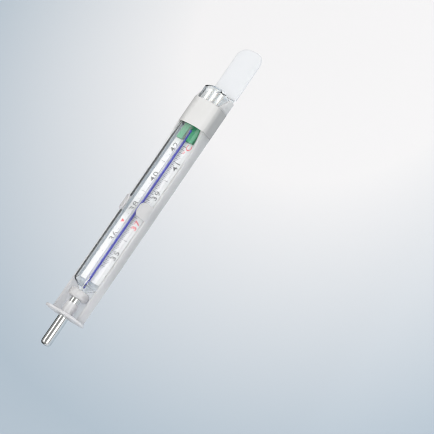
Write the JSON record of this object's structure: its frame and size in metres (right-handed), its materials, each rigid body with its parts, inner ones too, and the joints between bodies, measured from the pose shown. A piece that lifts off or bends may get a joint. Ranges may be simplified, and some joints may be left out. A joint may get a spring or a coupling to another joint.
{
  "type": "clinical thermometer",
  "caption": "Liquid-in-glass maximum thermometer with an enclosed scale in an oval glass tube, clipped into a translucent trough holder that swings on a flat grip tab.",
  "frame": {"origin": "middle of the overall length and width, level with the holder's flat back", "axes": "+X along the length from the bulb to the grip tab, +Y to the left of the scale seen with the tab up, +Z out of the face of the scale"},
  "size_m": [0.1572, 0.02, 0.0126],
  "materials": {
    "holder_plastic": "translucent natural polypropylene, satin from the mould",
    "band_plastic": "thin white sleeve, smooth, a little see-through",
    "clear_glass": "clear fire-polished glass",
    "liquid_metal": "bright liquid metal wetting the glass",
    "stripe_blue": "blue enamel fused into the glass",
    "scale_white": "white strip with a printed scale",
    "plug_green": "soft green plastic",
    "spring_white": "white moulded plastic"
  },
  "bodies": {
    "holder": {"holder_trough": "holder_plastic", "end_flange": "holder_plastic", "neck_ring": "holder_plastic", "retaining_band": "band_plastic", "film_hinge": "holder_plastic"},
    "tab": {"grip_tab": "holder_plastic"},
    "thermometer": {"glass_tube": "clear_glass", "bulb_glass": "clear_glass", "bulb_liquid": "liquid_metal", "capillary_tube": "clear_glass", "blue_stripe": "stripe_blue", "scale_plate": "scale_white", "retainer_plug": "plug_green", "top_spring": "spring_white"},
    "column": {"liquid_thread": "liquid_metal"}
  },
  "joints": [
    {"name": "tab_fold", "type": "hinge", "parent": "holder", "child": "tab", "pos_m": [0.05385, 0, 0.0005], "axis": [0, 1, 0], "range_deg": [0, 90], "deforming": ["film_hinge"]},
    {"name": "draw_out", "type": "slide", "parent": "holder", "child": "thermometer", "axis": [1, 0, 0], "range_m": [0, 0.13]},
    {"name": "column_rise", "type": "slide", "parent": "thermometer", "child": "column", "axis": [1, 0, 0], "range_m": [0, 0.0675], "deforming": ["liquid_thread"]}
  ]
}
